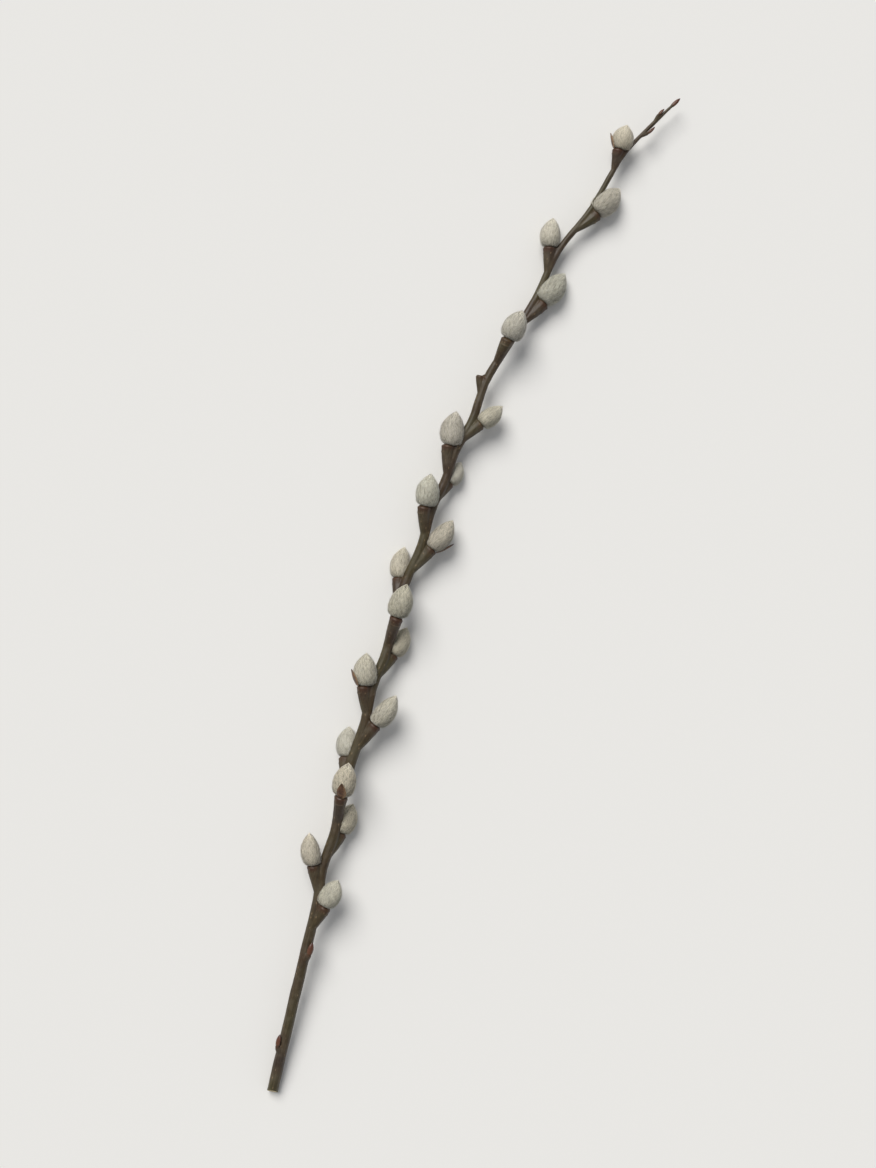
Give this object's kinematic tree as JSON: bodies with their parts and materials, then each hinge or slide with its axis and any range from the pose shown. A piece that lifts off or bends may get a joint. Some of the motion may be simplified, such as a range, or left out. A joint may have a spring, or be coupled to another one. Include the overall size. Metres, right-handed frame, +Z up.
{
  "type": "willow branch",
  "caption": "Cut pussy willow branch lying down: slim zigzag stem with flared nodes, each bearing a silky grey egg-shaped catkin, and a thin bare tip.",
  "frame": {"origin": "on the surface the branch lies on, below the middle of the branch's box", "axes": "+Y along the branch from its cut end to its tip, +X to the right seen from above with the tip ahead, +Z up from the surface"},
  "size_m": [0.0672, 0.693, 0.0327],
  "materials": {
    "bark": "satin",
    "silk": "matte",
    "dry_scale": "satin",
    "bud_skin": "satin"
  },
  "bodies": {
    "root": {"bud_1": "bud_skin", "bud_2": "bud_skin", "bud_3": "bud_skin", "bud_4": "bud_skin", "bud_5": "bud_skin", "bud_scale_04": "dry_scale", "bud_scale_07": "dry_scale", "bud_scale_11": "dry_scale", "bud_scale_20": "dry_scale", "catkin_01": "silk", "catkin_02": "silk", "catkin_03": "silk", "catkin_04": "silk", "catkin_05": "silk", "catkin_06": "silk", "catkin_07": "silk", "catkin_08": "silk", "catkin_09": "silk", "catkin_10": "silk", "catkin_11": "silk", "catkin_12": "silk", "catkin_13": "silk", "catkin_14": "silk", "catkin_15": "silk", "catkin_16": "silk", "catkin_17": "silk", "catkin_18": "silk", "catkin_19": "silk", "catkin_20": "silk", "end_bud": "bud_skin", "stem": "bark"}
  },
  "joints": []
}
